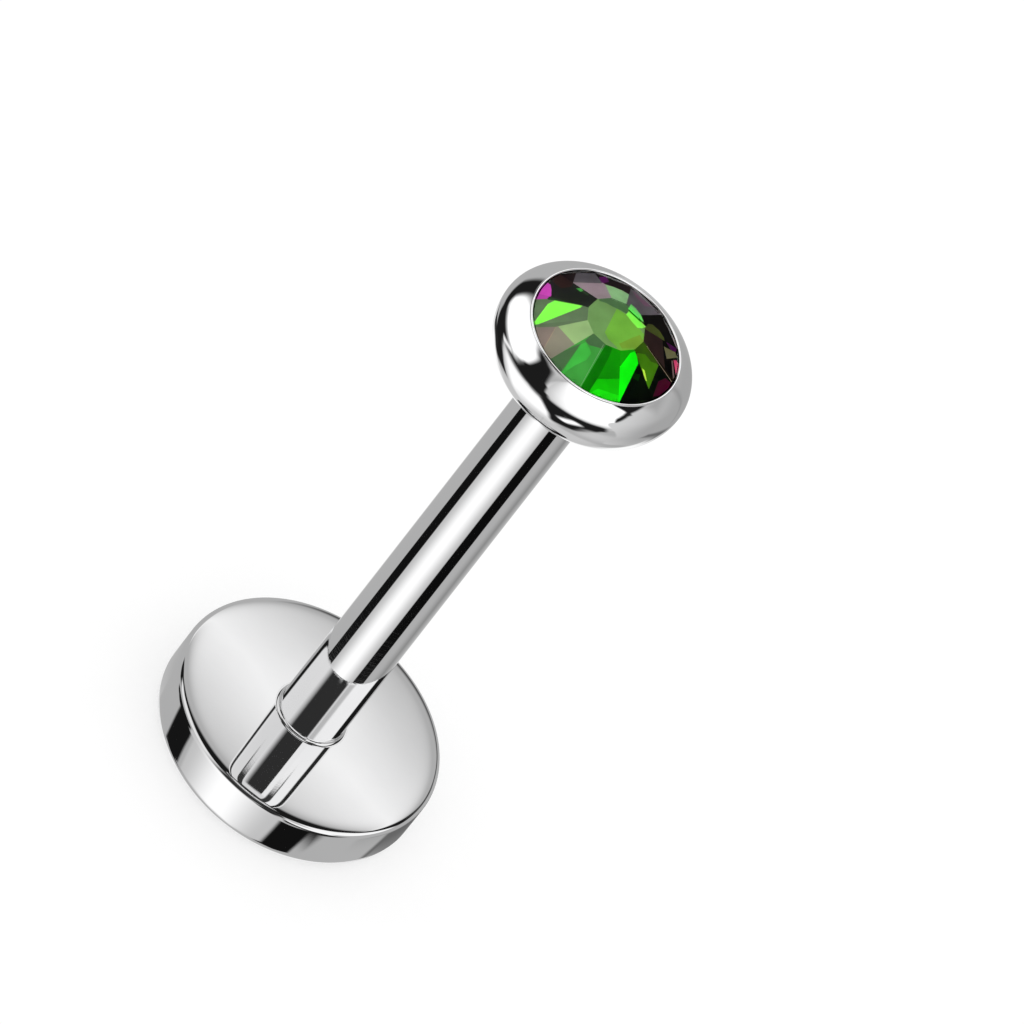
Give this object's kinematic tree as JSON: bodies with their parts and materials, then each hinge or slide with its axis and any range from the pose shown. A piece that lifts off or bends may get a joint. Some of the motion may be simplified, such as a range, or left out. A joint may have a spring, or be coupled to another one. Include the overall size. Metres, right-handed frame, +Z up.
{
  "type": "labret stud",
  "caption": "Push-fit labret stud: a flat disc back with a plain tube, and a round bezel cup with a cut crystal whose pin plugs into the tube and pulls out again.",
  "frame": {"origin": "middle of the underside of the disc, the face that the stud stands on", "axes": "+Z up the tube towards the crystal, +Y away from the picture's viewer, +X to the viewer's right"},
  "size_m": [0.004, 0.004, 0.0103],
  "materials": {
    "polished_steel_post": "mirror polished, with a finely turned disc face",
    "polished_steel_top": "mirror polished",
    "coated_crystal": "polished cut glass with a green to plum coating on its back"
  },
  "bodies": {
    "post": {"labret_post": "polished_steel_post"},
    "top": {"bezel_top": "polished_steel_top", "crystal": "coated_crystal"}
  },
  "joints": [
    {"name": "top_pull", "type": "slide", "parent": "post", "child": "top", "axis": [0, 0, 1], "range_m": [0, 0.006]}
  ]
}
